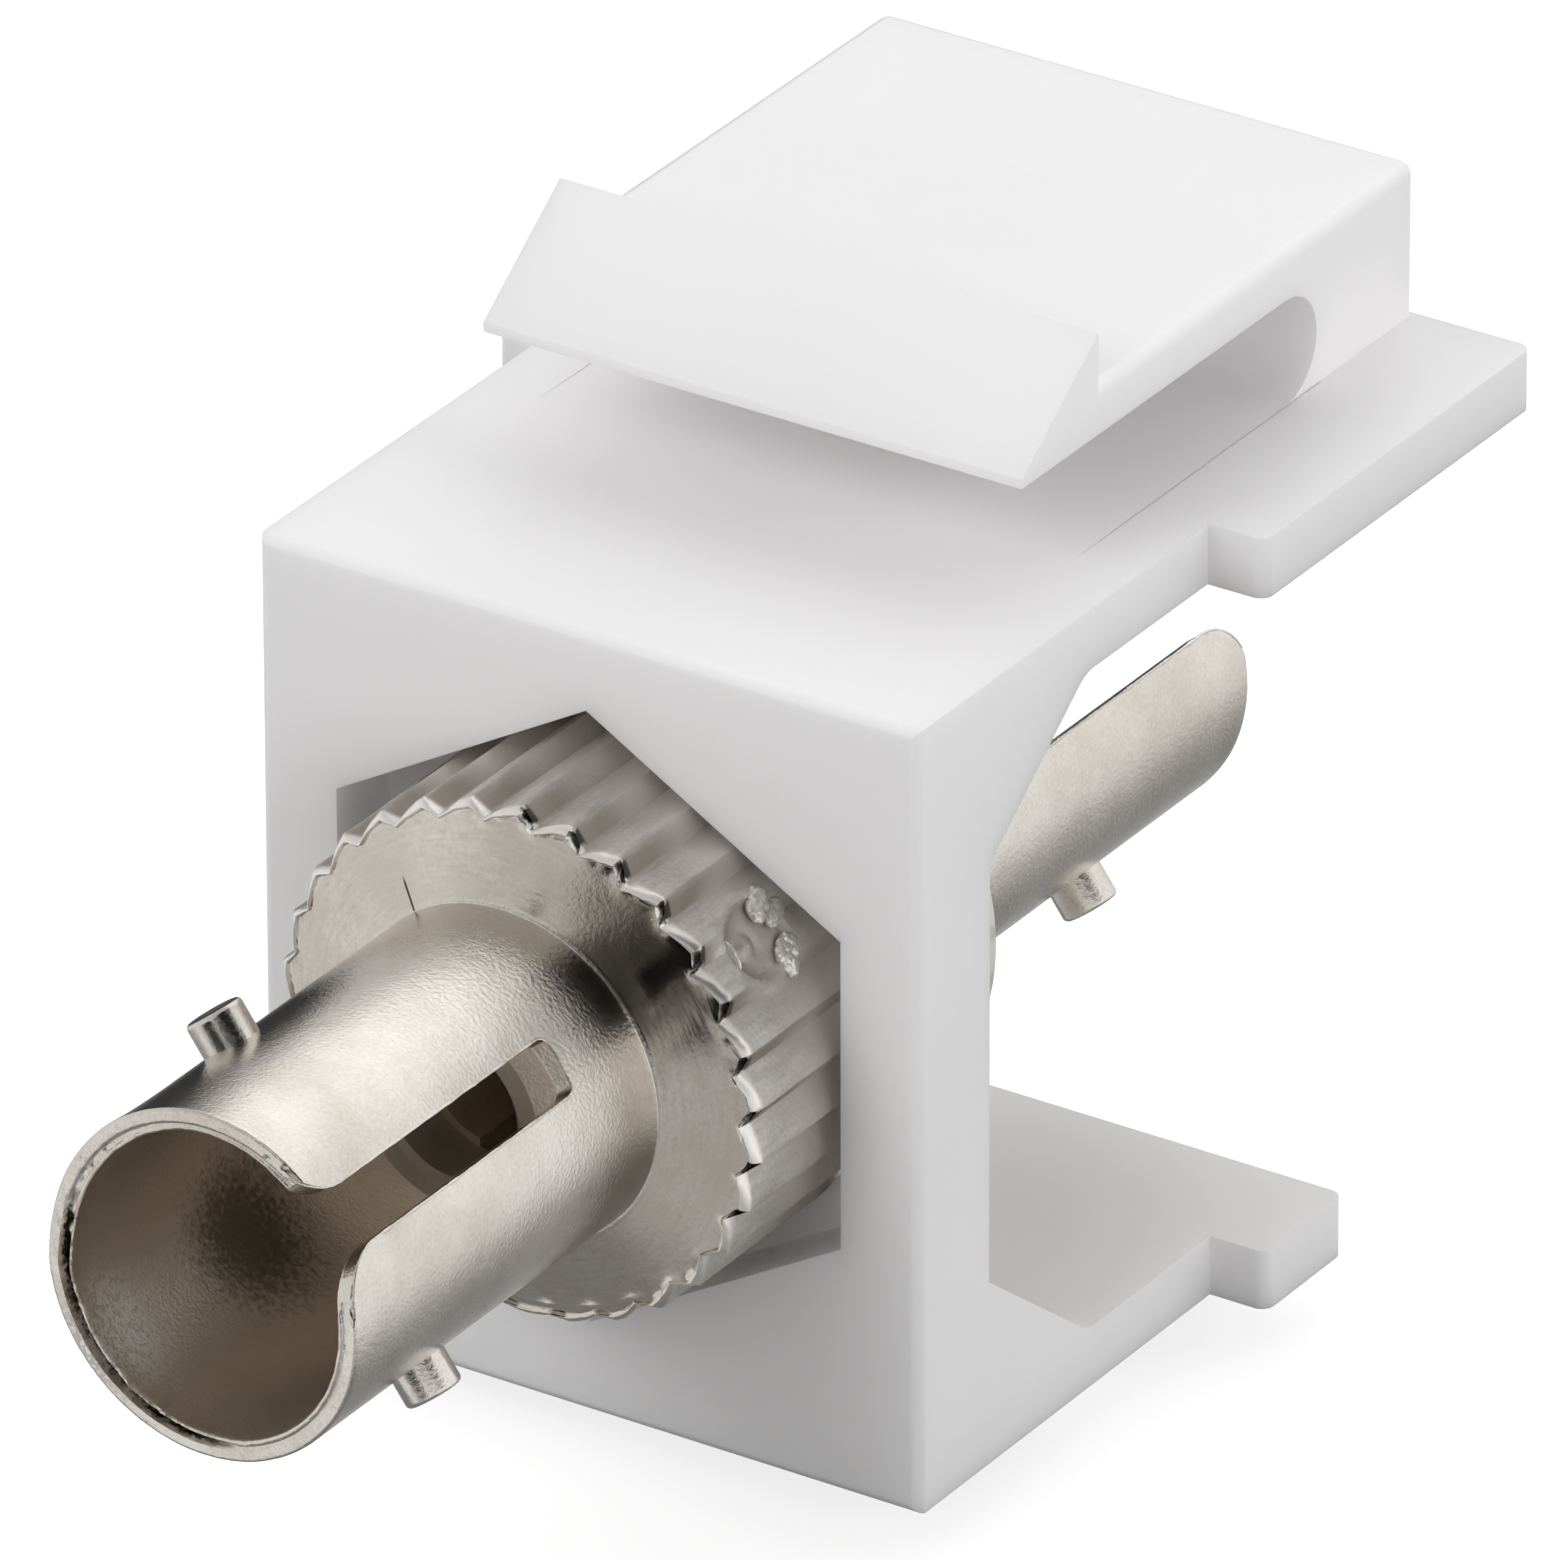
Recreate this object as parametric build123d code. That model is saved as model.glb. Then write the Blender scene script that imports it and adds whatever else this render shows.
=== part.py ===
from build123d import *
from math import cos, pi, radians, sin
import os

# Snap-in housing with a bayonet fibre coupler through its front wall, in millimetres.
# The origin is on the coupler's axis where it crosses the housing's front face.
# X runs to the right, Y to the back, Z up.

# Housing, one white moulding
housingWidth = 14.5
housingHeight = 16.35
axisHeight = 8.5
wallThickness = 2.4
plateThickness = 1.25
topDepth = 19.27
topStop = 9.85
bottomDepth = 12.85
bottomStop = 10.1
earReach = 1.25
topGussetReach = 3.25
topGussetDrop = 2.5
bottomGussetReach = 3.4
bottomGussetRise = 2.6
edgeRound = 0.25
earRound = 0.28

# Hexagonal mouth in the front wall, and the land behind it that grips the flutes
hexCorner = 6.4
hexDrop = 0.15
landThickness = 0.65

# Latch on top
latchWidth = 11.82
armThickness = 1.0
latchGap = 2.2
postThickness = 3.5
noseSetback = 5.55
noseLip = 0.2
toothStep = 8.15
toothRise = 1.1

# Fixed hook under the housing
hookWidth = 11.75
hookDrop = 1.1
hookStop = 8.1
hookFlat = 1.0
hookSlope = 2.4

# Coupler, measured along its own axis
frontReach = 12.67
backReach = 17.55
tubeRadius = 3.38
tubeWall = 0.43
boreDepth = 8.07
coneFront = 2.8
barrelFront = 2.28
barrelBack = 5.6
shoulderBack = 6.3
fluteTip = 5.28
fluteDepth = 0.3
fluteCount = 30
flutePhase = 5.4
fluteLean = 3.9
rootRound = 0.2
spigotRadius = 4.2

# Key slot in each tube
keyAngle = 36.4
keyWidth = 1.2
keyWebGap = 0.4
keyMouthRound = 1.1
keyEndRound = 0.2

# Bayonet lugs
lugRadius = 0.575
lugHeight = 0.67
lugSetback = 3.97
lugBevel = 0.08

# Ferrule sleeve and its holders
ferruleRadius = 1.25
sleeveWall = 0.37
sleeveLength = 11.4
sleeveSlit = 0.45
sleevePlay = 0.02
holderRadius = 1.95
lipRadius = 1.42
holderChamfer = 0.12

# Scar of the casting gate on the barrel
gateAngle = 35.0
gateSetback = 0.55
gateRadius = 1.0
gateDepth = 0.24
gateNub = 0.3

# Sizes that follow from the ones above
underside = -axisHeight
topFace = housingHeight - axisHeight
halfWidth = housingWidth / 2
earEdge = halfWidth + earReach
middleY = (backReach - frontReach) / 2
fluteRoot = fluteTip - fluteDepth
boreRadius = tubeRadius - tubeWall
frontWeb = -frontReach + boreDepth
backWeb = backReach - boreDepth
sleeveRadius = ferruleRadius + sleeveWall
pocketRadius = sleeveRadius + sleevePlay


# A solid of one outline in the Y-Z plane, as wide as asked and centred on X
def side_solid(points, width):
    outline = make_face(Polyline(*[(0, y, z) for y, z in points], close=True))
    return extrude(outline, amount=width / 2, dir=(1, 0, 0), both=True)


# A cylinder along Y from one place to another
def rod(radius, start, end):
    place = Plane(origin=(0, start, 0), x_dir=(1, 0, 0), z_dir=(0, 1, 0))
    return extrude(place * Circle(radius), amount=end - start)


# A solid turned round the coupler's axis from an outline of radius and place along Y
def turned(points):
    outline = make_face(Polyline(*[(r, y, 0) for r, y in points], close=True))
    return revolve(outline, axis=Axis.Y)


# A plane whose normal points straight out of the axis at an angle from X, at one place along Y
def outward(angle, y):
    direction = (cos(radians(angle)), 0, sin(radians(angle)))
    return Plane(origin=(0, y, 0), x_dir=(0, 1, 0), z_dir=direction)


# The toothed outline of the barrel as a prism. Each tooth rises steeply and falls away gently.
def fluted_prism(start, end):
    step = 360 / fluteCount
    spots = []
    for index in range(fluteCount):
        crest = flutePhase + index * step
        for angle, radius in ((crest - fluteLean, fluteRoot), (crest, fluteTip)):
            spots.append((radius * cos(radians(angle)), start, radius * sin(radians(angle))))
    outline = make_face(Polyline(*spots, close=True))
    return extrude(outline, amount=end - start, dir=(0, 1, 0))


# Edges that run along X at one place in Y and Z
def edges_at(solid, y, z, near=0.02):
    return [e for e in solid.edges().filter_by(Axis.X)
            if abs(e.center().Y - y) < near and abs(e.center().Z - z) < near]


# Upright edges at one place in X and Y, on both sides of the housing
def upright_at(solid, x, y, near=0.02):
    return [e for e in solid.edges().filter_by(Axis.Z)
            if abs(abs(e.center().X) - x) < near and abs(e.center().Y - y) < near]


# Front wall, both plates and the gussets between them
def housing_body():
    top = topFace - plateThickness
    bottom = underside + plateThickness
    points = [
        (0, underside),
        (bottomDepth, underside),
        (bottomDepth, bottom),
        (wallThickness + bottomGussetReach, bottom),
        (wallThickness, bottom + bottomGussetRise),
        (wallThickness, top - topGussetDrop),
        (wallThickness + topGussetReach, top),
        (topDepth, top),
        (topDepth, topFace),
        (0, topFace),
    ]
    body = side_solid(points, housingWidth)
    gussetEdges = edges_at(body, wallThickness + topGussetReach, top)
    gussetEdges += edges_at(body, wallThickness + bottomGussetReach, bottom)
    return fillet(gussetEdges, 0.8)


# The stops that meet the back of the panel, on both sides of one plate
def ears(start, end, bottom):
    length = end - start
    plate = Pos(0, start + length / 2, bottom + plateThickness / 2) * Box(2 * earEdge, length, plateThickness)
    corners = plate.edges().filter_by(Axis.Z)
    return fillet(corners, earRound)


# Post, arm and tooth
def latch():
    armBottom = topFace + latchGap
    armTop = armBottom + armThickness
    slotEnd = topDepth - postThickness
    points = [
        (topDepth, topFace - 0.3),
        (topDepth, armTop),
        (toothStep, armTop),
        (toothStep, armTop + toothRise),
        (noseSetback, armBottom + noseLip),
        (noseSetback, armBottom),
        (slotEnd, armBottom),
        (slotEnd, topFace - 0.3),
    ]
    solid = side_solid(points, latchWidth)
    slot = Pos(0, slotEnd - latchGap / 2, topFace + latchGap / 2)
    filler = slot * Box(latchWidth, latchGap, latchGap)
    hollow = slot * Rot(0, 90, 0) * Cylinder(latchGap / 2, latchWidth + 1)
    behind = Pos(0, slotEnd - latchGap, topFace + latchGap / 2) * Box(latchWidth + 1, latchGap, latchGap)
    solid = solid + (filler - hollow - behind)
    rear = upright_at(solid, latchWidth / 2, topDepth)
    return fillet(rear, earRound)


# Hook that goes behind the panel's lower edge first
def hook():
    points = [
        (hookStop, underside + 0.3),
        (hookStop, underside - hookDrop),
        (hookStop - hookFlat, underside - hookDrop),
        (hookStop - hookFlat - hookSlope, underside),
        (hookStop - hookFlat - hookSlope, underside + 0.3),
    ]
    return side_solid(points, hookWidth)


# The mouth is a hexagon with a corner up. Behind it the fluted barrel is pressed through a round land.
def wall_opening():
    place = Plane(origin=(0, -1, -hexDrop), x_dir=(0, 0, -1), z_dir=(0, 1, 0))
    mouth = extrude(place * RegularPolygon(hexCorner, 6), amount=1 + wallThickness - landThickness)
    land = rod(fluteTip, wallThickness - landThickness - 0.1, shoulderBack + 1)
    return mouth + land


def keystone_housing():
    body = housing_body()
    body = body + ears(topStop, topDepth, topFace - plateThickness)
    body = body + ears(bottomStop, bottomDepth, underside)
    body = body + latch() + hook()
    body = body - wall_opening()
    armTop = topFace + latchGap + armThickness
    rounds = edges_at(body, 0, topFace)
    rounds += edges_at(body, 0, underside)
    rounds += upright_at(body, halfWidth, 0)
    body = fillet(rounds, edgeRound)
    rear = edges_at(body, topDepth, armTop)
    body = fillet(rear, edgeRound)
    return body.clean()


# Tube with its bore, from the mouth to the web. It points to -Y and is turned for the rear shell.
def tube_outline(reach, inner):
    web = -reach + boreDepth
    return [
        (boreRadius, -reach),
        (tubeRadius, -reach),
        (tubeRadius, inner),
        (holderRadius, inner),
        (holderRadius, web),
        (boreRadius, web),
    ]


# The cutter of the key slot: straight, with a wider rounded mouth
def key_slot(reach):
    end = -reach + boreDepth - keyWebGap
    half = keyWidth / 2
    open_half = half + keyMouthRound
    start = -reach
    place = outward(keyAngle, 0)
    straight = Polyline((start + keyMouthRound, -half), (end, -half), (end, half), (start + keyMouthRound, half))
    lower = ThreePointArc(
        (start + keyMouthRound, -half),
        (start + keyMouthRound * (1 - sin(pi / 4)), -half - keyMouthRound * (1 - cos(pi / 4))),
        (start, -open_half),
    )
    upper = ThreePointArc(
        (start, open_half),
        (start + keyMouthRound * (1 - sin(pi / 4)), half + keyMouthRound * (1 - cos(pi / 4))),
        (start + keyMouthRound, half),
    )
    cap = Polyline((start, -open_half), (start - 1, -open_half), (start - 1, open_half), (start, open_half))
    outline = make_face(Wire(straight.edges() + upper.edges() + cap.edges() + lower.edges()))
    cutter = extrude(place * outline, amount=tubeRadius + 1)
    corners = [e for e in cutter.edges() if abs(e.center().Y - end) < 0.02
               and e.geom_type == GeomType.LINE and e.length > tubeRadius]
    return fillet(corners, keyEndRound)


# Shallow round scar with a nub in its middle
def gate_scar():
    floor = fluteTip - gateDepth
    scar = outward(gateAngle, -gateSetback) * Circle(gateRadius)
    cutter = extrude(scar, amount=fluteTip + 1) - extrude(scar, amount=floor)
    nub = outward(gateAngle, -gateSetback) * Circle(gateNub)
    return cutter - extrude(nub, amount=floor + gateDepth * 0.5)


# Holes for the two lugs of one tube
def lug_holes(reach):
    holes = None
    for angle in (keyAngle + 90, keyAngle - 90):
        hole = extrude(outward(angle, -reach + lugSetback) * Circle(lugRadius), amount=tubeRadius + 1)
        holes = hole if holes is None else holes + hole
    return holes


def front_shell():
    tube = turned(tube_outline(frontReach, -barrelFront))
    root = turned([
        (tubeRadius - 0.1, -coneFront - rootRound),
        (tubeRadius, -coneFront - rootRound),
        (tubeRadius + rootRound * 0.3, -coneFront - rootRound * 0.3),
        (tubeRadius + rootRound, -coneFront),
        (tubeRadius + rootRound, -barrelFront + 0.1),
        (tubeRadius - 0.1, -barrelFront + 0.1),
    ])
    cone = turned([
        (0, -coneFront),
        (tubeRadius + rootRound, -coneFront),
        (fluteTip, -barrelFront),
        (fluteTip + 1, -barrelFront),
        (fluteTip + 1, barrelBack),
        (0, barrelBack),
    ])
    barrel = fluted_prism(-coneFront, barrelBack) & cone
    barrel = barrel + rod(fluteRoot - 0.04, barrelBack - 0.1, shoulderBack)
    barrel = barrel - rod(holderRadius, -coneFront - 1, shoulderBack + 1)
    barrel = barrel - rod(spigotRadius, middleY, shoulderBack + 1)
    shell = tube + root + barrel
    shell = shell - rod(boreRadius, -frontReach - 1, frontWeb)
    shell = shell - key_slot(frontReach) - lug_holes(frontReach) - gate_scar()
    return shell


def rear_shell():
    reach = backReach
    tube = turned(tube_outline(reach, -shoulderBack + 0.1))
    spigot = rod(spigotRadius, -shoulderBack, -middleY) - rod(holderRadius, -shoulderBack - 1, 0)
    shell = tube + spigot
    shell = shell - key_slot(reach) - lug_holes(reach)
    return to_rear(shell)


# Mirror a piece of the front half to the rear, so the key slots stay in line
def to_rear(piece):
    return mirror(piece, about=Plane.XZ)


def lug(angle, reach):
    place = outward(angle, -reach + lugSetback)
    pin = extrude(place * Circle(lugRadius), amount=tubeRadius + lugHeight)
    end = pin.faces().sort_by_distance((0, 0, 0))[-1]
    pin = chamfer(end.edges(), lugBevel)
    return pin - rod(boreRadius, -reach - 1, 0)


# Bush with a lip at its outer end; the sleeve sits behind the lip
def sleeve_holder(web, half):
    lipEnd = half - sleeveLength / 2
    bush = turned([
        (lipRadius + holderChamfer, web),
        (holderRadius, web),
        (holderRadius, half),
        (pocketRadius, half),
        (pocketRadius, lipEnd),
        (lipRadius, lipEnd),
        (lipRadius, web + holderChamfer),
    ])
    return bush


def split_sleeve():
    sleeve = rod(sleeveRadius, middleY - sleeveLength / 2, middleY + sleeveLength / 2)
    sleeve = sleeve - rod(ferruleRadius, -frontReach, backReach)
    slit = Pos(0, middleY, -sleeveRadius) * Box(sleeveSlit, sleeveLength + 1, 2 * sleeveWall + 0.6)
    return sleeve - slit


def pieces():
    return {
        "keystone_housing": keystone_housing(),
        "front_shell": front_shell(),
        "rear_shell": rear_shell(),
        "front_upper_lug": lug(keyAngle + 90, frontReach),
        "front_lower_lug": lug(keyAngle - 90, frontReach),
        "rear_upper_lug": to_rear(lug(keyAngle + 90, backReach)),
        "rear_lower_lug": to_rear(lug(keyAngle - 90, backReach)),
        "front_sleeve_holder": sleeve_holder(frontWeb, middleY),
        "rear_sleeve_holder": to_rear(sleeve_holder(-backWeb, -middleY)),
        "split_sleeve": split_sleeve(),
    }


os.makedirs("parts", exist_ok=True)
for name, piece in pieces().items():
    solids = piece.solids()
    shape = solids[0] if len(solids) == 1 else Compound(children=list(solids))
    shape.label = name
    export_step(shape, f"parts/{name}.step")
    size = shape.bounding_box()
    print(name, len(solids), "solid", round(shape.volume, 3), "mm3", size.min, size.max)
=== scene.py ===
import math
import bpy
import bmesh
from mathutils import Matrix, Vector, noise


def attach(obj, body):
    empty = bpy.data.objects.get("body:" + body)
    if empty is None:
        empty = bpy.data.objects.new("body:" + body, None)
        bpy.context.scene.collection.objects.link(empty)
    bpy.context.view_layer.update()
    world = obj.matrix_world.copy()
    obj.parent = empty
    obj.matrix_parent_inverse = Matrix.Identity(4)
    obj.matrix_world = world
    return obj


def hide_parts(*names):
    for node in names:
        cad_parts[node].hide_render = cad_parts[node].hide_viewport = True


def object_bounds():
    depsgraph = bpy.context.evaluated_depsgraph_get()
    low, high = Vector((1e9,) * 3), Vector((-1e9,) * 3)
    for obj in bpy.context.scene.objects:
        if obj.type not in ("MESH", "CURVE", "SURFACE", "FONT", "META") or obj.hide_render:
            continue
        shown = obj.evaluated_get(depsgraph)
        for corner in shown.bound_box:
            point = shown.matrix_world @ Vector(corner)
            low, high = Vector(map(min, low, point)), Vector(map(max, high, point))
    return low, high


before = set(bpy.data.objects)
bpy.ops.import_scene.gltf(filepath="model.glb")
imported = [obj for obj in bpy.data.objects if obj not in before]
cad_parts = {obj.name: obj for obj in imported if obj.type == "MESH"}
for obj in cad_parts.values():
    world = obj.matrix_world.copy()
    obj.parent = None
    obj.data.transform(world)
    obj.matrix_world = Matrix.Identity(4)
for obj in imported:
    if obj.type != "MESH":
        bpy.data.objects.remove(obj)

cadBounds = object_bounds()  # the solids' box, before anything is added
mm = 0.001


# small helpers shared by all pieces

def addObject(name, data):
    thing = bpy.data.objects.new(name, data)
    bpy.context.scene.collection.objects.link(thing)
    return thing


def meshFrom(name, bm):
    mesh = bpy.data.meshes.new(name)
    bm.to_mesh(mesh)
    bm.free()
    return mesh


def newPiece(name, bm, material):
    mesh = meshFrom(name, bm)
    for face in mesh.polygons:
        face.use_smooth = True
    piece = addObject(name, mesh)
    mesh.materials.append(material)
    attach(piece, "root")
    return piece


def roundEdges(piece, width, segments, angle):
    mod = piece.modifiers.new("edgeRound", "BEVEL")
    mod.width = width * mm
    mod.segments = segments
    mod.limit_method = "ANGLE"
    mod.angle_limit = math.radians(angle)
    even = piece.modifiers.new("evenNormals", "WEIGHTED_NORMAL")
    even.mode = "FACE_AREA"
    even.weight = 100


def outward(angle):
    a = math.radians(angle)
    return Vector((math.cos(a), 0, math.sin(a)))


def along(angle):  # direction round the tube, towards larger angles
    a = math.radians(angle)
    return Vector((-math.sin(a), 0, math.cos(a)))


def spinProfile(profile, steps):
    # profile: (radius, place along Y) in mm, a closed ring of points
    bm = bmesh.new()
    verts = [bm.verts.new((r * mm, y * mm, 0)) for r, y in profile]
    edges = [bm.edges.new((verts[i], verts[(i + 1) % len(verts)])) for i in range(len(verts))]
    bmesh.ops.spin(bm, geom=verts + edges, cent=(0, 0, 0), axis=(0, 1, 0), dvec=(0, 0, 0),
                   angle=math.tau, steps=steps, use_merge=True, use_duplicate=False)
    bmesh.ops.remove_doubles(bm, verts=bm.verts, dist=1e-7)
    bmesh.ops.recalc_face_normals(bm, faces=bm.faces)
    return bm


def spaced(start, end, count):
    return [start + (end - start) * i / count for i in range(count + 1)]


def clamp(value):
    return min(max(value, 0), 1)


def bell(value, centre, half):
    return max(0.0, 1 - ((value - centre) / half) ** 2)


def polar(point):
    # radius in mm and angle in degrees round the tube's axis
    return math.hypot(point.x, point.z) / mm, math.degrees(math.atan2(point.z, point.x))


def awayFrom(degrees, angle):
    return (degrees - angle + 180) % 360 - 180


def stretch(vert, share):
    # moves a point in or out from the tube's axis
    vert.co.x *= share
    vert.co.z *= share


# shared shader effects

def newGroup(name, inputs, outputs):
    group = bpy.data.node_groups.new(name, "ShaderNodeTree")
    for label, kind, value in inputs:
        socket = group.interface.new_socket(label, in_out="INPUT", socket_type=kind)
        if value is not None:
            socket.default_value = value
    for label, kind in outputs:
        group.interface.new_socket(label, in_out="OUTPUT", socket_type=kind)
    return group, group.nodes.new("NodeGroupInput"), group.nodes.new("NodeGroupOutput")


def feed(links, socket, value):
    # a fixed value, or a link from another node's output
    if isinstance(value, bpy.types.NodeSocket):
        links.new(value, socket)
    else:
        socket.default_value = value


def addNoise(nodes, links, vector, scale, detail):
    texture = nodes.new("ShaderNodeTexNoise")
    texture.inputs["Detail"].default_value = detail
    feed(links, texture.inputs["Scale"], scale)
    links.new(vector, texture.inputs["Vector"])
    return texture


def mixColours(nodes, links, factor, first, second):
    mix = nodes.new("ShaderNodeMix")
    mix.data_type = "RGBA"
    feed(links, mix.inputs["Factor"], factor)
    for socket, value in ((mix.inputs["A"], first), (mix.inputs["B"], second)):
        feed(links, socket, (*value, 1) if isinstance(value, tuple) else value)
    return mix.outputs["Result"]


def mixValues(nodes, links, factor, first, second):
    mix = nodes.new("ShaderNodeMix")
    for name, value in (("Factor", factor), ("A", first), ("B", second)):
        feed(links, mix.inputs[name], value)
    return mix.outputs["Result"]


def spread(nodes, links, source, span, ends=(0.0, 1.0)):
    node = nodes.new("ShaderNodeMapRange")
    node.inputs["From Min"].default_value, node.inputs["From Max"].default_value = span
    node.inputs["To Min"].default_value, node.inputs["To Max"].default_value = ends
    links.new(source, node.inputs["Value"])
    return node.outputs["Result"]


grainLook = {
    "detail": 4,
    "roughness": 0.6,
    "pebbleShare": 0.1,
    "rippleDetail": 1,
    "blotchScale": 420,
    "blotchDetail": 4,
}


def makeGrainGroup(look):
    # fine pebbly cast grain and broader ripples as one height value, and large blotches
    group, inp, out = newGroup("castGrain",
        [("Vector", "NodeSocketVector", None), ("Grain Scale", "NodeSocketFloat", 9000.0),
         ("Ripple Scale", "NodeSocketFloat", 1400.0), ("Ripple Share", "NodeSocketFloat", 0.5)],
        [("Height", "NodeSocketFloat"), ("Blotch", "NodeSocketFloat")])
    n, l = group.nodes, group.links
    vector, scale = inp.outputs["Vector"], inp.outputs["Grain Scale"]
    grain = addNoise(n, l, vector, scale, look["detail"])
    grain.inputs["Roughness"].default_value = look["roughness"]
    pebble = n.new("ShaderNodeTexVoronoi")
    l.new(vector, pebble.inputs["Vector"])
    l.new(scale, pebble.inputs["Scale"])
    ripple = addNoise(n, l, vector, inp.outputs["Ripple Scale"], look["rippleDetail"])
    blotch = addNoise(n, l, vector, look["blotchScale"], look["blotchDetail"])
    fine = mixValues(n, l, look["pebbleShare"], grain.outputs["Fac"], pebble.outputs["Distance"])
    l.new(mixValues(n, l, inp.outputs["Ripple Share"], fine, ripple.outputs["Fac"]), out.inputs["Height"])
    l.new(blotch.outputs["Fac"], out.inputs["Blotch"])
    return group


grainGroup = makeGrainGroup(grainLook)


def startMaterial(name):
    mat = bpy.data.materials.new(name)
    mat.use_nodes = True
    nodes, links = mat.node_tree.nodes, mat.node_tree.links
    nodes.clear()
    out = nodes.new("ShaderNodeOutputMaterial")
    shader = nodes.new("ShaderNodeBsdfPrincipled")
    links.new(shader.outputs["BSDF"], out.inputs["Surface"])
    coords = nodes.new("ShaderNodeTexCoord")
    return mat, nodes, links, shader, coords


def addBump(nodes, links, shader, height, strength, distance):
    bump = nodes.new("ShaderNodeBump")
    bump.inputs["Strength"].default_value = strength
    bump.inputs["Distance"].default_value = distance * mm
    links.new(height, bump.inputs["Height"])
    links.new(bump.outputs["Normal"], shader.inputs["Normal"])


shellZones = {   # where each mask is 0 and where it is full: radii and places along Y in mm, turns in degrees
    "barrelRadius": (4.7, 4.9),
    # sunk end lightened: painted light where the housing's pocket shades the barrel
    "barrelPlace": (-2.24, -2.1),
    "sunkLightPlace": (-1.5, 0.1),
    "scarCentre": (4.2, -0.62, 3.05),
    "scarReach": (0.95, 0.8),
    "scarClear": (1.0, 1.6),        # no steep sides nearer to the scar
    "toothStep": 12.0,
    "toothPhase": 1.5,
    "crestAt": 4.0,                 # degrees past the valley
    "crestRise": 0.19,
    # steep tooth sides darkened: painted shade
    "steepShadeStart": (-0.4, 0.6),
    "steepShadeEnd": (5.2, 2.6),
    "steepShadeWander": 2.5,
    "faceRadius": (3.42, 3.5),
    "faceFront": (-3.1, -2.95),
    "faceBack": (-2.1, -2.25),
    "tickTurn": 124.8,              # the scratch on the flange
    "tickWidth": (0.55, 0.25),
    "tickInner": (3.38, 3.42),
    "tickOuter": (4.1, 3.9),
    # painted highlight along the worn rim's upper edge
    "rimRadius": (4.88, 4.92),
    "rimPlace": (-2.1, -2.3),
    "rimHighlightHeight": (-4.3, -3.4),      # along Z, as the painted highlight is on the upper side only
    # painted dark reflection: black bars on the steep sides at the rim
    "darkBarStart": (0.2, 0.9),
    "darkBarEnd": (3.7, 3.0),
    "darkBarWander": 3.0,
    "darkBarRadius": (4.93, 4.96),
    "darkBarPlace": (-2.04, -2.12),
    "darkBarFirst": (-31, -27),
    "darkBarLast": (99, 95),
    "darkBarWobble": 0.12,
    "boreRadius": (3.02, 2.97),
    # the torn groove is painted near black: painted shade in the recess
    "grooveInner": (2.99, 3.02),
    "grooveOuter": (3.13, 3.1),
    "groovePlace": (-12.3, -12.4),
    "grooveSide": (1.2, 2.2),       # along the way to the lower left
    "grooveWay": (-0.78, -0.62),
    "grooveTorn": 0.09,
    # painted shade: a dark blob where the bore lies in shadow
    "boreShade": ((-2.35, -7.8, -1.8), (2.0, 0.5), 2.2),      # centre, reach, unevenness
    # painted highlight: bright glints on the bore's lower left
    "paintedGlint": ((-2.3, -12.0, -1.85), (1.8, 0.4), 2.0),
    "paintedGlintGrit": (-0.04, 0.0),
    "speckScale": 9000,
    "streakScale": 9000,
    "streakShare": 0.1,             # of the length along Y
    "brushScale": 12000,
    "brushShare": 0.12,             # of the length round the shell
    "veinRadius": 4.5,
    "veinDetail": 4,
}


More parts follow.
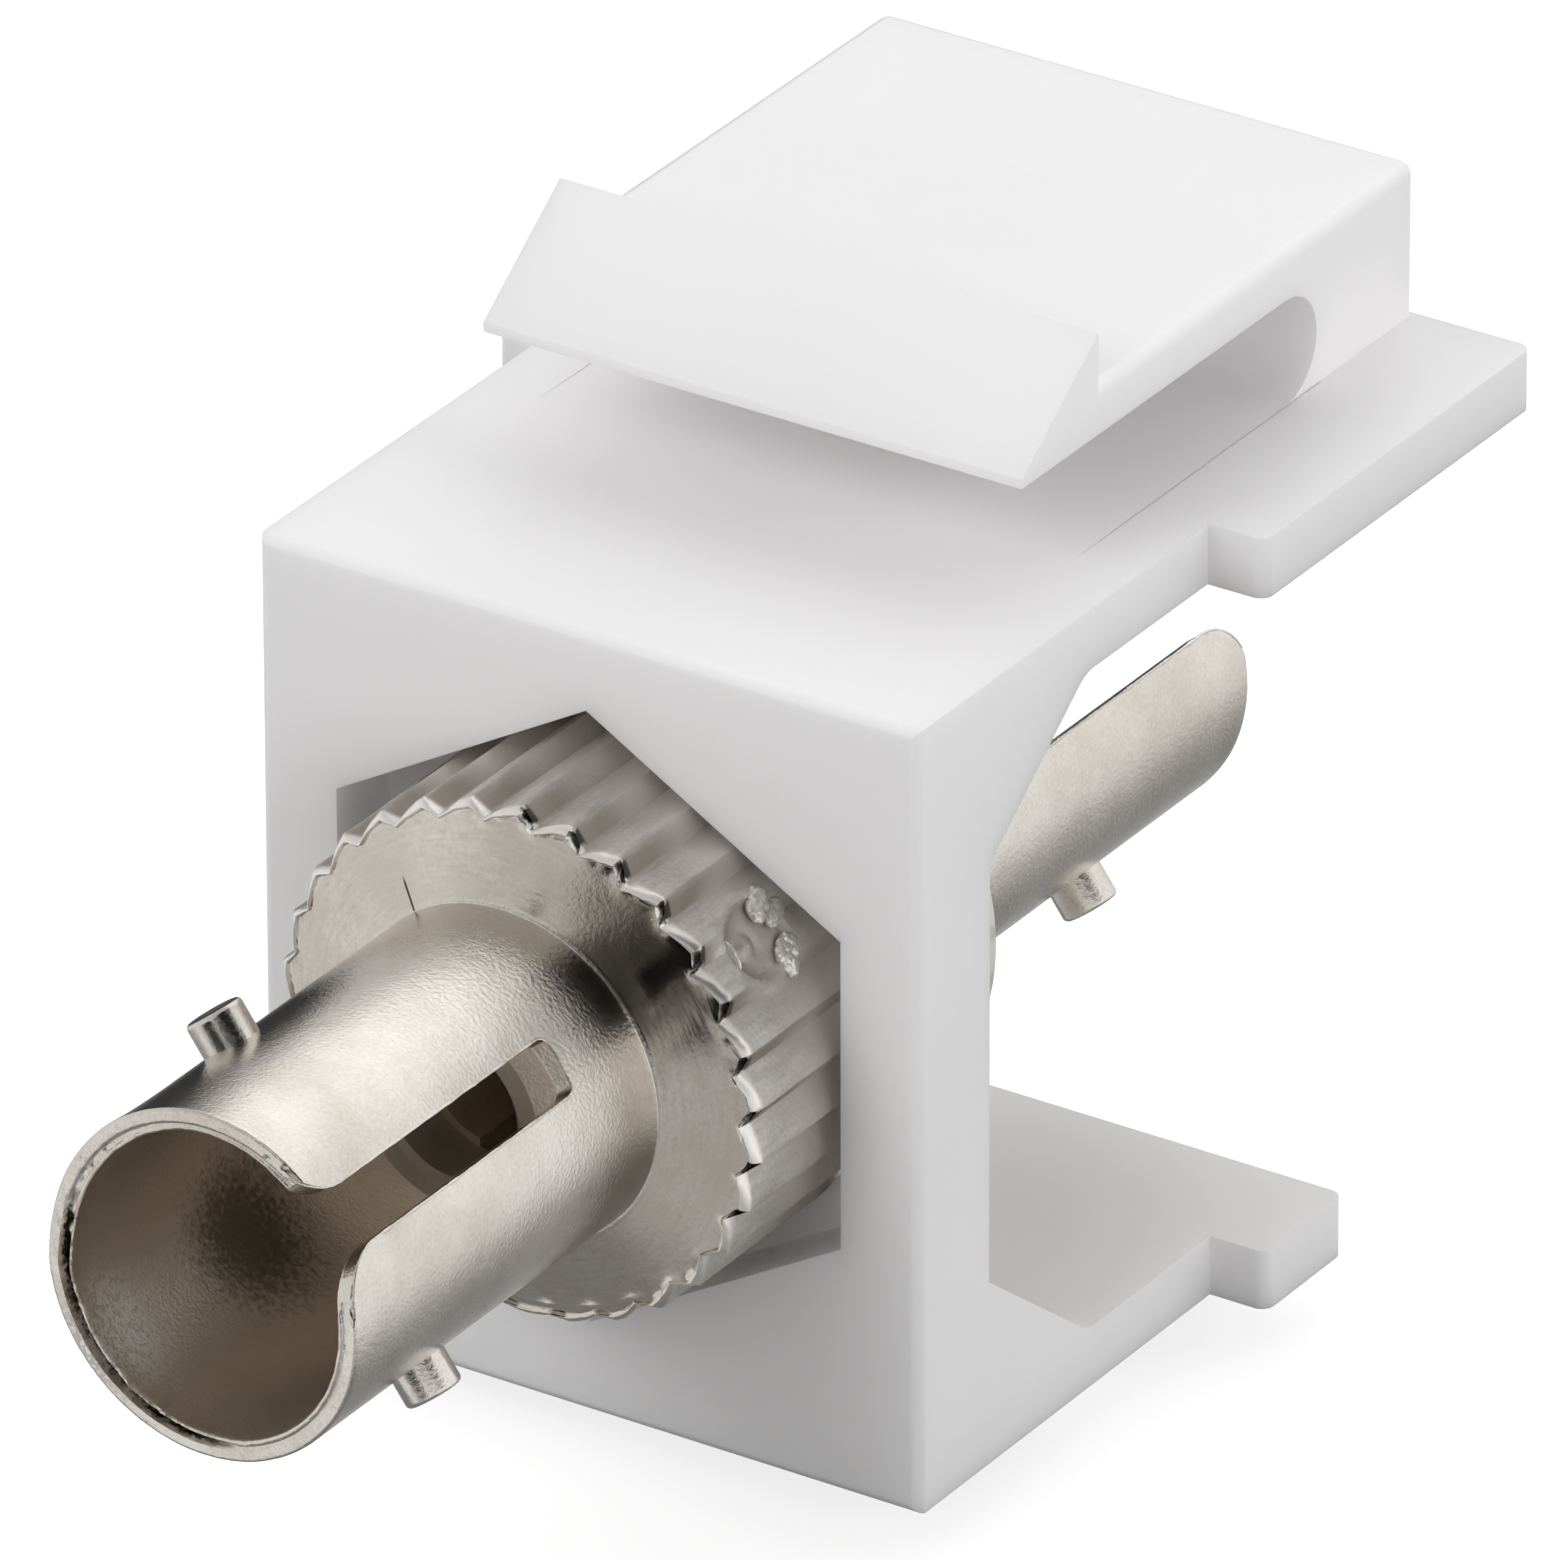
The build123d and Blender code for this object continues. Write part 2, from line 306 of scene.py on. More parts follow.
def makeZoneGroup(z):
    # masks of one shell: fluted barrel, its steep tooth sides (painted shade) and sunk end (painted light), bore with
    # its groove (painted shade), a painted shade and painted glints, turned flange with a scratch, its worn rim with a
    # painted highlight above and painted dark reflection bars, gate scar; streaks along and round the shell
    names = ("Barrel", "SteepShade", "SunkLight", "Bore", "GrooveShade", "BoreShade", "BoreGlint", "Face", "Tick", "RimHighlight", "PaintedDarkBar", "Scar",
             "Streak", "Brush")
    group, inp, out = newGroup("shellZones", [("Vector", "NodeSocketVector", None)],
                               [(name, "NodeSocketFloat") for name in names])
    n, l = group.nodes, group.links
    vector = inp.outputs["Vector"]

    def calc(operation, first, second=0.0):
        node = n.new("ShaderNodeMath")
        node.operation = operation
        feed(l, node.inputs[0], first)
        feed(l, node.inputs[1], second)
        return node.outputs["Value"]

    def times(first, *others):
        for other in others:
            first = calc("MULTIPLY", first, other)
        return first

    def step(source, edges, unit=mm):
        node = n.new("ShaderNodeMapRange")
        node.interpolation_type = "SMOOTHSTEP"
        node.inputs["From Min"].default_value = edges[0] * unit
        node.inputs["From Max"].default_value = edges[1] * unit
        l.new(source, node.inputs["Value"])
        return node.outputs["Result"]

    def veins(x, y, scale):
        joined = n.new("ShaderNodeCombineXYZ")
        l.new(x, joined.inputs["X"])
        l.new(y, joined.inputs["Y"])
        return addNoise(n, l, joined.outputs["Vector"], scale, z["veinDetail"]).outputs["Fac"]

    def distance(centre):
        node = n.new("ShaderNodeVectorMath")
        node.operation = "DISTANCE"
        node.inputs[1].default_value = Vector(centre) * mm
        l.new(vector, node.inputs[0])
        return node.outputs["Value"]

    flat = n.new("ShaderNodeVectorMath")
    flat.operation = "MULTIPLY"
    flat.inputs[1].default_value = (1, 0, 1)
    l.new(vector, flat.inputs[0])
    length = n.new("ShaderNodeVectorMath")
    length.operation = "LENGTH"
    l.new(flat.outputs["Vector"], length.inputs[0])
    parts = n.new("ShaderNodeSeparateXYZ")
    l.new(vector, parts.inputs["Vector"])
    x, place, height = (parts.outputs[axis] for axis in "XYZ")
    radius, turn = length.outputs["Value"], calc("ARCTAN2", height, x)
    degrees = times(turn, math.degrees(1))
    around = times(turn, z["veinRadius"] * mm)
    grit = calc("SUBTRACT", addNoise(n, l, vector, z["speckScale"], z["veinDetail"]).outputs["Fac"], 0.5)

    def uneven(source, amount):
        return calc("ADD", source, times(grit, amount))

    # barrel and teeth
    past = calc("FLOORED_MODULO", calc("SUBTRACT", degrees, z["toothPhase"]), z["toothStep"])
    barrel = times(step(radius, z["barrelRadius"]), step(place, z["barrelPlace"]))
    l.new(barrel, out.inputs["Barrel"])
    # painted light on the barrel's end inside the housing's pocket
    l.new(times(barrel, step(place, z["sunkLightPlace"])), out.inputs["SunkLight"])
    away = distance(z["scarCentre"])
    l.new(step(away, z["scarReach"]), out.inputs["Scar"])
    streak = veins(around, times(place, z["streakShare"]), z["streakScale"])
    l.new(streak, out.inputs["Streak"])
    l.new(veins(radius, times(around, z["brushShare"]), z["brushScale"]), out.inputs["Brush"])
    wander = calc("ADD", past, times(calc("SUBTRACT", streak, 0.5), z["steepShadeWander"]))
    # the steep tooth sides get a painted shade
    steep = times(step(wander, z["steepShadeEnd"], 1), step(past, z["steepShadeStart"], 1))
    l.new(times(barrel, step(away, z["scarClear"]), steep), out.inputs["SteepShade"])

    # flange, its scratch, the worn rim's painted highlight and painted dark reflection bars
    face = times(step(radius, z["faceRadius"]), step(place, z["faceFront"]), step(place, z["faceBack"]))
    l.new(face, out.inputs["Face"])
    off = calc("ABSOLUTE", calc("SUBTRACT", degrees, z["tickTurn"]))
    tick = times(step(off, z["tickWidth"], 1), step(radius, z["tickOuter"]), step(radius, z["tickInner"]))
    l.new(times(tick, step(place, z["faceFront"])), out.inputs["Tick"])
    # painted highlight: the worn rim's upper side is lightened where it catches the light
    after = calc("SUBTRACT", 1.5, calc("DIVIDE", past, 2 * z["crestAt"]))   # falls to 0 at the next valley
    crest = calc("MINIMUM", calc("DIVIDE", past, z["crestAt"]), after)
    edge = calc("SUBTRACT", radius, times(crest, z["crestRise"] * mm))
    rim = times(step(edge, z["rimRadius"]), step(place, z["rimPlace"]), step(height, z["rimHighlightHeight"]))
    l.new(rim, out.inputs["RimHighlight"])
    # painted dark reflection bars on the steep sides at the rim
    shaky = uneven(past, z["darkBarWander"])
    paintedDarkBar = times(step(shaky, z["darkBarStart"], 1), step(shaky, z["darkBarEnd"], 1),
                 step(uneven(edge, z["darkBarWobble"] * mm), z["darkBarRadius"]), step(place, z["darkBarPlace"]),
                 step(degrees, z["darkBarFirst"], 1), step(degrees, z["darkBarLast"], 1))
    l.new(paintedDarkBar, out.inputs["PaintedDarkBar"])

    # bore, with painted shade deep inside, painted glints, and a torn groove at the lower left of its mouth painted
    # dark as shade
    l.new(step(radius, z["boreRadius"]), out.inputs["Bore"])
    swing = uneven(radius, z["grooveTorn"] * mm)
    lowLeft = calc("ADD", times(x, z["grooveWay"][0]), times(height, z["grooveWay"][1]))
    # painted shade in the torn groove
    groove = times(step(swing, z["grooveInner"]), step(swing, z["grooveOuter"]), step(lowLeft, z["grooveSide"]),
                   step(place, z["groovePlace"]))
    l.new(groove, out.inputs["GrooveShade"])
    # painted shade deep in the bore
    boreShade, paintedGlint = (step(uneven(distance(centre), torn * mm), reach)
                    for centre, reach, torn in (z["boreShade"], z["paintedGlint"]))
    l.new(boreShade, out.inputs["BoreShade"])
    # painted glints in the bore
    l.new(times(paintedGlint, step(grit, z["paintedGlintGrit"], 1)), out.inputs["BoreGlint"])
    return group


zoneGroup = makeZoneGroup(shellZones)

nickelLook = {
    "light": (0.695, 0.66, 0.615),
    "dark": (0.54, 0.495, 0.435),
    "blotchSpan": (0.35, 0.62),
    "pepperSpan": (0.36, 0.6),
    "pepper": 0.55,          # share of it in the zones, and in the plain metal
    "plainPepper": 0.5,
    "roughSpan": (0.3, 0.7),
    "roughLow": 0.13,
    "roughHigh": 0.2,
    "grainHeight": 0.0165,   # mm
    "grainScale": 11500.0,
    "rippleScale": 1500.0,
    "rippleShare": 0.3,
    "metallic": 1.0,
}
barrelLook = {
    "light": (0.63, 0.605, 0.575),
    "dark": (0.43, 0.4, 0.365),
    "streakSpan": (0.35, 0.65),
    # painted shade on the steep tooth sides
    "steep": (0.32, 0.285, 0.245),
    # painted light for the barrel's end sunk in the pocket
    "sunkLight": (0.68, 0.645, 0.6),
    "scar": (0.42, 0.39, 0.35),
    "rough": 0.46,
    "metallic": 0.6,
}
faceLook = {
    "light": (0.69, 0.65, 0.595),
    "dark": (0.51, 0.46, 0.395),
    "brushSpan": (0.3, 0.6),
    "brushShare": 0.25,      # of the turning marks between the blotches
    "brushHeight": 0.15,
    "grainHeight": 0.36,
    "rough": 0.12,
    # painted highlight on the worn rim's upper side
    "rim": (0.84, 0.81, 0.77),
    "rimRough": 0.4,
    "tick": (0.07, 0.06, 0.05),
    # painted dark reflection bars at the rim
    "paintedDarkBar": (0.06, 0.053, 0.045),
}
boreLook = {
    "colour": (0.8, 0.73, 0.645),
    # painted shade inside the bore
    "boreShade": (0.26, 0.22, 0.175),
    # painted highlight in the bore
    "paintedGlint": (1.0, 0.98, 0.95),
    # painted shade in the torn groove
    "groove": (0.03, 0.026, 0.02),
    "grainHeight": 1.7,
    "rough": 0.38,
    "paintedGlintRough": 0.6,
}


def zonedNickel(nodes, links, zones, look, share, pepper, grainHeight, colour, rough):
    # the shells' colours, roughness and grain, zone by zone; some zones hold painted shade, light and highlights
    def zone(name):
        return zones.outputs[name]

    streaks = spread(nodes, links, zone("Streak"), barrelLook["streakSpan"])
    streaks = mixValues(nodes, links, look["pepper"], streaks, pepper)
    side = mixColours(nodes, links, streaks, barrelLook["dark"], barrelLook["light"])
    brushed = spread(nodes, links, zone("Brush"), faceLook["brushSpan"])
    brushed = mixValues(nodes, links, look["pepper"], brushed, pepper)
    brushed = mixValues(nodes, links, share, faceLook["brushShare"], brushed)
    turned = mixColours(nodes, links, brushed, faceLook["dark"], faceLook["light"])
    inside = mixColours(nodes, links, zone("BoreShade"), boreLook["colour"], boreLook["boreShade"])
    inside = mixColours(nodes, links, zone("BoreGlint"), inside, boreLook["paintedGlint"])
    for name, over in (("Face", turned), ("Tick", faceLook["tick"]), ("RimHighlight", faceLook["rim"]), ("Barrel", side),
                       ("SteepShade", barrelLook["steep"]), ("Scar", barrelLook["scar"]), ("SunkLight", barrelLook["sunkLight"]),
                       ("PaintedDarkBar", faceLook["paintedDarkBar"]), ("Bore", inside), ("GrooveShade", boreLook["groove"])):
        colour = mixColours(nodes, links, zone(name), colour, over)
    for name, over in (("Face", faceLook["rough"]), ("RimHighlight", faceLook["rimRough"]), ("Barrel", barrelLook["rough"]),
                       ("Bore", boreLook["rough"]), ("BoreGlint", boreLook["paintedGlintRough"])):
        rough = mixValues(nodes, links, zone(name), rough, over)
    faceGrain = spread(nodes, links, grainHeight, (0.0, 1.0), (0.0, faceLook["grainHeight"]))
    faceBrush = spread(nodes, links, zone("Brush"), (0.0, 1.0), (0.0, faceLook["brushHeight"]))
    boreGrain = spread(nodes, links, grainHeight, (0.0, 1.0), (0.0, boreLook["grainHeight"]))
    onFace = mixValues(nodes, links, share, faceGrain, faceBrush)
    height = mixValues(nodes, links, zone("Face"), grainHeight, onFace)
    height = mixValues(nodes, links, zone("Bore"), height, boreGrain)
    return colour, rough, height, mixValues(nodes, links, zone("Barrel"), look["metallic"], barrelLook["metallic"])


def makeNickel(name, look, zoned=False):
    mat, nodes, links, shader, coords = startMaterial(name)
    shader.inputs["Metallic"].default_value = look["metallic"]
    grain = nodes.new("ShaderNodeGroup")
    grain.node_tree = grainGroup
    grain.inputs["Grain Scale"].default_value = look["grainScale"]
    grain.inputs["Ripple Scale"].default_value = look["rippleScale"]
    grain.inputs["Ripple Share"].default_value = look["rippleShare"]
    links.new(coords.outputs["Object"], grain.inputs["Vector"])
    height, blotch = grain.outputs["Height"], grain.outputs["Blotch"]
    share = spread(nodes, links, blotch, look["blotchSpan"])
    pepper = spread(nodes, links, height, look["pepperSpan"])
    plain = mixValues(nodes, links, look["plainPepper"], share, pepper)
    colour = mixColours(nodes, links, plain, look["dark"], look["light"])
    rough = spread(nodes, links, blotch, look["roughSpan"], (look["roughHigh"], look["roughLow"]))
    if zoned:
        zones = nodes.new("ShaderNodeGroup")
        zones.node_tree = zoneGroup
        links.new(coords.outputs["Object"], zones.inputs["Vector"])
        colour, rough, height, metal = zonedNickel(nodes, links, zones, look, share, pepper, height, colour, rough)
        links.new(metal, shader.inputs["Metallic"])
    links.new(colour, shader.inputs["Base Color"])
    links.new(rough, shader.inputs["Roughness"])
    addBump(nodes, links, shader, height, 1.0, look["grainHeight"])
    return mat


plasticLook = {
    "colour": (0.925, 0.913, 0.915),
    "tint": (0.905, 0.892, 0.894),
    "cloudScale": 160,
    "cloudDetail": 3,
    "cloudStops": (0.35, 0.65),
    "roughLow": 0.32,
    "roughHigh": 0.42,
    "fineScale": 2600,
    "fineDetail": 2,
    "fineStrength": 0.35,
    "sinkHeight": 0.004,   # mm
    "ior": 1.5,
    "scatter": 0.45,
    "scatterReach": 1.8,   # mm
}


def makePlastic(name, look):
    mat, nodes, links, shader, coords = startMaterial(name)
    cloud = addNoise(nodes, links, coords.outputs["Object"], look["cloudScale"], look["cloudDetail"]).outputs["Fac"]
    ramp = nodes.new("ShaderNodeValToRGB")
    for stop, place, colour in zip(ramp.color_ramp.elements, look["cloudStops"], (look["tint"], look["colour"])):
        stop.position = place
        stop.color = (*colour, 1)
    links.new(cloud, ramp.inputs["Fac"])
    links.new(ramp.outputs["Color"], shader.inputs["Base Color"])
    rough = spread(nodes, links, cloud, (0.0, 1.0), (look["roughLow"], look["roughHigh"]))
    links.new(rough, shader.inputs["Roughness"])
    fine = addNoise(nodes, links, coords.outputs["Object"], look["fineScale"], look["fineDetail"])
    addBump(nodes, links, shader, fine.outputs["Fac"], look["fineStrength"], look["sinkHeight"])
    shader.inputs["IOR"].default_value = look["ior"]
    shader.inputs["Subsurface Weight"].default_value = look["scatter"]
    shader.inputs["Subsurface Radius"].default_value = (1.0, 1.0, 1.0)
    shader.inputs["Subsurface Scale"].default_value = look["scatterReach"] * mm
    return mat


pinLook = {**nickelLook, "grainHeight": 0.012, "roughLow": 0.17, "roughHigh": 0.24}
holderLook = {**nickelLook, "light": (0.6, 0.54, 0.47), "dark": (0.5, 0.445, 0.38), "metallic": 0.4,
              "roughLow": 0.42, "roughHigh": 0.52}
springLook = {**nickelLook, "light": (0.7, 0.6, 0.48), "dark": (0.58, 0.48, 0.37), "metallic": 0.3,
              "grainHeight": 0.001, "roughLow": 0.4, "roughHigh": 0.5}
tornLook = {**nickelLook, "light": (0.9, 0.885, 0.86), "dark": (0.6, 0.57, 0.53), "metallic": 0.7,
            "roughLow": 0.22, "roughHigh": 0.34}

nickel = makeNickel("castNickel", nickelLook, True)
pinNickel = makeNickel("turnedNickel", pinLook)
holderMetal = makeNickel("holderMetal", holderLook)
bronze = makeNickel("springBronze", springLook)
plastic = makePlastic("whiteAbs", plasticLook)
tornNickel = makeNickel("tornNickel", tornLook)
print("materials made")


# housing: the moulding's own solid with its edges rounded

housingSizes = {
    "edgeRound": 0.07,   # mm, on edges that the mould left nearly sharp
    "segments": 3,
    "sharpAngle": 28,
    "mergeWithin": 0.002,
    "flatAngle": 0.4,
    "plateTop": 7.85,
    "lineAt": 5.93,
    "lineFront": 7.2,
    "lineBack": 15.9,
    "lineWidth": 0.07,
    "lineRise": 0.012,
    "lineSunk": 0.01,
    "lineSteps": 24,
    "lineFade": 8,       # steps over which it rises
    "lineWave": 0.02,
}


def mergedCopy(node, s):
    bm = bmesh.new()
    bm.from_mesh(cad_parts[node].data)
    bmesh.ops.remove_doubles(bm, verts=bm.verts, dist=s["mergeWithin"] * mm)
    bmesh.ops.dissolve_limit(bm, angle_limit=math.radians(s["flatAngle"]), verts=bm.verts, edges=bm.edges)
    return bm


def makeHousing(s):
    piece = newPiece("housingMoulding", mergedCopy("keystone_housing", s), plastic)
    roundEdges(piece, s["edgeRound"], s["segments"], s["sharpAngle"])
    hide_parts("keystone_housing")


def makePartingLine(s):
    # faint line that the mould's slide left on the top plate, in front of the latch post
    bm = bmesh.new()
    low, half = s["plateTop"] - s["lineSunk"], s["lineWidth"] / 2
    for x in (-s["lineAt"], s["lineAt"]):
        rows = []
        for k, y in enumerate(spaced(s["lineFront"], s["lineBack"], s["lineSteps"])):
            rise = s["lineRise"] * min(1, k / s["lineFade"]) * (0.8 + 0.3 * noise.noise(Vector((x, y, 3))))
            wave = s["lineWave"] * noise.noise(Vector((x, y * 0.6, 8)))
            corners = ((-half, low), (0, s["plateTop"] + rise), (half, low))
            rows.append([bm.verts.new(Vector((x + wave + dx, y, z)) * mm) for dx, z in corners])
        for first, second in zip(rows, rows[1:]):
            for i, j in ((0, 1), (1, 2), (2, 0)):
                bm.faces.new((first[i], first[j], second[j], second[i]))
        bm.faces.new(rows[0])
        bm.faces.new(rows[-1][::-1])
    bmesh.ops.recalc_face_normals(bm, faces=bm.faces)
    newPiece("partingLine", bm, plastic)


makeHousing(housingSizes)
makePartingLine(housingSizes)
print("housing made")


# coupler shells: spun profiles, then flutes, scar and rough rims by moving their points

shellSizes = {
    "frontMouth": -12.67,
    "backMouth": 17.55,
    "tubeRadius": 3.38,
    "boreRadius": 2.95,
    "boreDepth": 8.07,
    "coneFront": -2.8,
    "coneShort": 0.2,       # it ends this far inside the teeth's tips
    "coneBack": -0.055,     # from the barrel's front
    "rootRound": 0.02,
    "barrelFront": -2.28,
    "barrelBack": 5.6,
    "shoulderBack": 6.3,
    "middle": 2.44,
    "spigotRadius": 4.2,
    "holderRadius": 1.95,
    "fluteTip": 5.28,
    "fluteDepth": 0.3,
    "shoulderDrop": 0.03,   # below the valleys
    "fluteCount": 30,
    "flutePhase": 5.5,
    "fluteLean": 4.0,
    "boreFineBy": 0.8,      # where the finer rings of the mouth start
    "tubeFineBy": 0.2,
    "barrelFine": (0.13, 1.0),    # past the barrel's front, and where the finer rings end
    "barrelCoarse": (1.5, 0.1),   # where the coarser ones start, and how far they end before its back
    "startTurn": -0.5,      # puts the profile's steps between the teeth's edges
    "frontSteps": 360,
    "rearSteps": 180,
    "rimNoise": 0.02,
    "mouthLift": 0.12,      # the upper lip stands a little open
    "mouthSetback": 0.3,
    "mouthOpening": 2.4,    # over this length
    "mouthBead": 0.11,      # metal pushed inwards on the left of the mouth
    "smoothAngle": 40,
}

slotSizes = {
    "angle": 36.4,
    "width": 1.2,
    "webGap": 0.4,
    "mouthRound": 1.1,
    "mouthSteps": 8,
    "endRound": 0.2,
    "endSteps": 4,
    "overrun": 0.9,      # of the cutter, in front of the mouth
    "cutFrom": 1.5,      # the cutter's lowest radius and height
    "cutHeight": 3.5,
    "burrRadius": 0.035,
    "burrStep": 0.12,
    "burrSunk": 0.012,
}


def toothShare(s, degrees):
    # 1 at a tooth's crest, 0 in the valley; steep on one side, gentle on the other
    step = 360 / s["fluteCount"]
    past = (degrees - s["flutePhase"] + s["fluteLean"] + 0.001) % step
    if past < s["fluteLean"]:
        return past / s["fluteLean"]
    return 1 - ((past - s["fluteLean"]) / (step - s["fluteLean"])) ** 1.25


# end face of a tube, as (past the bore's radius or short of the tube's, depth from the mouth) in mm
lipInner = ((0, 0.42), (0, 0.3), (0, 0.2), (0, 0.12), (0.004, 0.06), (0.018, 0.02), (0.05, 0), (0.08, 0.002),
            (0.1, 0.02), (0.125, 0.03), (0.15, 0.02), (0.17, 0.003), (0.2, 0), (0.24, 0), (0.28, 0), (0.32, 0),
            (0.36, 0))
lipOuter = ((0.045, 0.002), (0.02, 0.014), (0.005, 0.035), (0, 0.08))
# edge between flange and barrel, as (short of the teeth's tips, past the barrel's front)
flangeEdge = ((0.17, -0.075), (0.145, -0.09), (0.12, -0.09), (0.08, -0.06), (0.04, -0.015), (0.015, 0.03),
              (0.002, 0.08))
ringCounts = {   # how many steps each stretch of the profiles is divided into
    "frontBore": 24,
    "frontTube": 44,
    "rootRound": 6,
    "flange": 16,
    "barrelFront": 38,
    "barrelBack": 10,
    "web": 6,
    "rearBore": 12,
    "rearTube": 26,
}


def mouthProfile(s, mouth, way):
    # way is 1 where the tube runs towards +Y from its mouth, -1 at the back
    lip = [(s["boreRadius"] + d, y) for d, y in lipInner] + [(s["tubeRadius"] - d, y) for d, y in lipOuter]
    return [(radius, mouth + way * y) for radius, y in lip]


def frontProfile(s, rings):
    r, b, h = s["tubeRadius"], s["boreRadius"], s["holderRadius"]
    mouth, web = s["frontMouth"], s["frontMouth"] + s["boreDepth"]
    cone, front, back = s["coneFront"], s["barrelFront"], s["barrelBack"]
    tip, bend, valley = s["fluteTip"], s["rootRound"], s["fluteTip"] - s["fluteDepth"] - s["shoulderDrop"]
    points = [(b, y) for y in spaced(web, mouth + s["boreFineBy"], rings["frontBore"])]
    points += mouthProfile(s, mouth, 1)
    points += [(r, y) for y in spaced(mouth + s["tubeFineBy"], cone - bend, rings["frontTube"])]
    turns = spaced(0, math.pi / 2, rings["rootRound"])[1:-1]
    points += [(r + bend - bend * math.cos(a), cone - bend + bend * math.sin(a)) for a in turns]
    radii = spaced(r + bend, tip - s["coneShort"], rings["flange"])
    points += zip(radii, spaced(cone, front + s["coneBack"], rings["flange"]))
    points += [(tip - d, front + y) for d, y in flangeEdge]
    points += [(tip, y) for y in spaced(front + s["barrelFine"][0], s["barrelFine"][1], rings["barrelFront"])]
    points += [(tip, y) for y in spaced(s["barrelCoarse"][0], back - s["barrelCoarse"][1], rings["barrelBack"])]
    points += [(tip - 0.04, back - 0.02), (tip - 0.14, back), (valley, back)]
    points += [(valley, s["shoulderBack"] - 0.08), (valley - 0.08, s["shoulderBack"])]
    points += [(s["spigotRadius"], s["shoulderBack"]), (s["spigotRadius"], s["middle"]), (h, s["middle"]), (h, web)]
    points += [(radius, web) for radius in spaced(h, b, rings["web"])[1:-1]]
    return points


def rearProfile(s, rings):
    r, b, h = s["tubeRadius"], s["boreRadius"], s["holderRadius"]
    mouth, web, shoulder = s["backMouth"], s["backMouth"] - s["boreDepth"], s["shoulderBack"]
    points = [(b, y) for y in spaced(web, mouth - s["boreFineBy"], rings["rearBore"])]
    points += mouthProfile(s, mouth, -1)
    points += [(r, y) for y in spaced(mouth - s["tubeFineBy"], shoulder + 0.25, rings["rearTube"])]
    points += [(r + 0.05, shoulder + 0.1), (r + 0.16, shoulder), (s["spigotRadius"], shoulder)]
    points += [(s["spigotRadius"], s["middle"]), (h, s["middle"]), (h, web)]
    return points


mouthMarks = [   # torn nicks in the end face: angle, radius, half length in degrees, half width, depth
    (56, 3.3, 4.5, 0.06, 0.2),
    (66, 3.17, 1.2, 0.035, 0.1),
    (16, 3.31, 3.2, 0.045, 0.16),
    (9, 3.33, 1.6, 0.03, 0.1),
    (-4, 3.12, 1.0, 0.03, 0.07),
]
mouthWear = {
    "reach": 0.45,            # mm behind the mouth
    "groove": 0.125,          # past the bore's radius
    "noiseScales": (1.1, 4.5, 12),
    "noiseSeeds": (0, 5, 9),
    "tornAngle": -137,        # worst on the lower left
    "tornHalf": 62,
    "leftTilt": 14,
    "ringDepth": 0.06,        # a shallow ring on the left and a deep torn groove below it
    "ringHalf": 0.05,
    "tornDepth": 0.34,
    "tornWidth": 0.06,
    "lipTorn": 0.07,
}


def roughenMouth(bm, s, wear, mouth, way, seed):
    groove = s["boreRadius"] + wear["groove"]
    for v in bm.verts:
        depth = (v.co.y / mm - mouth) * way
        if depth > wear["reach"]:
            continue
        radius, degrees = polar(v.co)
        spot = Vector((v.co.x, v.co.z, 0)) / mm
        broad, middle, fine = (noise.noise(spot * scale + Vector((0, 0, seed + extra)))
                               for scale, extra in zip(wear["noiseScales"], wear["noiseSeeds"]))
        fade = 1 - max(depth, 0) / wear["reach"]
        torn = bell(awayFrom(degrees, wear["tornAngle"]), 0, wear["tornHalf"])
        left = max(0.0, -math.cos(math.radians(degrees - wear["leftTilt"]))) ** 0.6
        shift = fade * s["rimNoise"] * (0.9 * broad + 0.4 * middle)
        if fade > 0.9:
            shift += left * wear["ringDepth"] * bell(radius, groove, wear["ringHalf"]) * max(0, 0.6 + middle)
            shift += torn * wear["tornDepth"] * bell(radius, groove, wear["tornWidth"]) * max(0, 0.85 + 0.5 * middle)
            if radius < groove - 0.02:
                shift += torn * wear["lipTorn"] * (middle + 1.3 * fine)
            for angle, place, halfLength, halfWidth, pit in mouthMarks:
                shift += pit * bell(awayFrom(degrees, angle), 0, halfLength) * bell(radius, place, halfWidth)
        v.co.y += way * mm * shift
        if radius < groove:
            stretch(v, 1 + fade * ((0.003 + 0.012 * torn) * (middle + fine) - left * s["mouthBead"] / radius))


def openMouth(bm, s):
    for v in bm.verts:
        depth = v.co.y / mm - s["frontMouth"]
        if depth > s["mouthOpening"]:
            continue
        near = (1 - max(depth, 0) / s["mouthOpening"]) ** 2
        degrees = polar(v.co)[1]
        lift = max(0.0, math.sin(math.radians(degrees - 5))) ** 0.7
        v.co.z += mm * s["mouthLift"] * lift * near
        v.co.y += mm * s["mouthSetback"] * lift * near


toothWear = {
    "ring": 0.55,             # mm inside the tips that follows the teeth
    "steepShare": (0.2, 0.85),
    "underAngle": -95,        # teeth under the flange are shallow and worn round
    "underHalf": 42,
    "underEnd": 1.4,          # mm behind the barrel's front
    "underFade": 1.2,
    "underShallow": 0.6,
    "underRise": 0.04,
    "underBack": 0.06,
    "rimHalf": 0.2,
    "rimBand": 0.24,
    "rimWear": 0.04,
    "wave": 0.01,
    "valleyBack": 0.1,        # the flange's edge leans forward in the valleys
    "nickAngles": (-28, 95),  # small torn nicks on the steep sides
    "nickDepth": 0.34,
    "nickWidth": 0.1,
}


